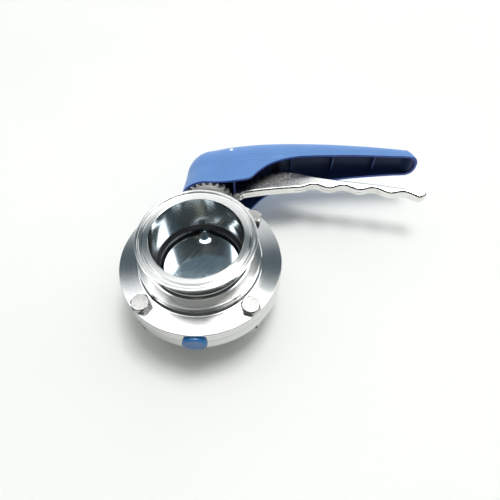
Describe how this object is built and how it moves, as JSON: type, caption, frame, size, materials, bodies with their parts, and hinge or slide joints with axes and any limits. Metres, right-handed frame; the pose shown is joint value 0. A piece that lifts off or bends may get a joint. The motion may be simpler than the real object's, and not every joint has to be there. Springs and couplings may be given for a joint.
{
  "type": "butterfly valve",
  "caption": "Sanitary butterfly valve with clamp ferrules, a bolted two-piece body, a rubber seat and a locking trigger handle on a toothed index plate.",
  "frame": {"origin": "centre of the lower ferrule's sealing face, on the flow axis", "axes": "+Z along the flow axis out of the upper ferrule, +Y along the stem towards the handle, +X along the handle with the valve closed"},
  "size_m": [0.2636, 0.2019, 0.088],
  "materials": {
    "turned_steel": "fine turned stainless steel",
    "polished_steel": "mirror polished stainless steel",
    "plate_steel": "stamped stainless steel",
    "fastener_steel": "bright stainless steel",
    "spring_steel": "drawn wire",
    "cast_metal": "polished casting with a slight grain",
    "black_rubber": "moulded rubber",
    "white_bush": "machined bearing plastic",
    "grip_plastic": "moulded satin plastic",
    "plug_plastic": "moulded satin plastic"
  },
  "bodies": {
    "body": {"upper_body": "turned_steel", "lower_body": "turned_steel", "seat_ring": "black_rubber", "index_plate": "plate_steel", "upper_bush": "white_bush", "lower_bush": "white_bush", "upper_stem_seal": "black_rubber", "lower_stem_seal": "black_rubber", "end_plug": "plug_plastic", "flange_bolt_1": "fastener_steel", "flange_bolt_2": "fastener_steel", "flange_bolt_3": "fastener_steel", "flange_bolt_4": "fastener_steel", "spring_washer_1": "spring_steel", "spring_washer_2": "spring_steel", "spring_washer_3": "spring_steel", "spring_washer_4": "spring_steel", "flange_nut_1": "fastener_steel", "flange_nut_2": "fastener_steel", "flange_nut_3": "fastener_steel", "flange_nut_4": "fastener_steel"},
    "handle": {"disc": "polished_steel", "handle_grip": "grip_plastic", "handle_washer": "fastener_steel", "handle_screw": "fastener_steel", "trigger_pin": "fastener_steel", "trigger_spring": "spring_steel"},
    "trigger": {"trigger": "cast_metal"}
  },
  "joints": [
    {"name": "handle_turn", "type": "hinge", "parent": "body", "child": "handle", "pos_m": [0, 0, 0.044], "axis": [0, -1, 0], "range_deg": [0, 90]},
    {"name": "trigger_squeeze", "type": "hinge", "parent": "handle", "child": "trigger", "pos_m": [0.02, 0.115, 0.044], "axis": [0, 0, 1], "range_deg": [0, 6], "stiffness_Nm_per_rad": 2, "springref_deg": -8.59, "deforming": ["trigger_spring"]}
  ]
}
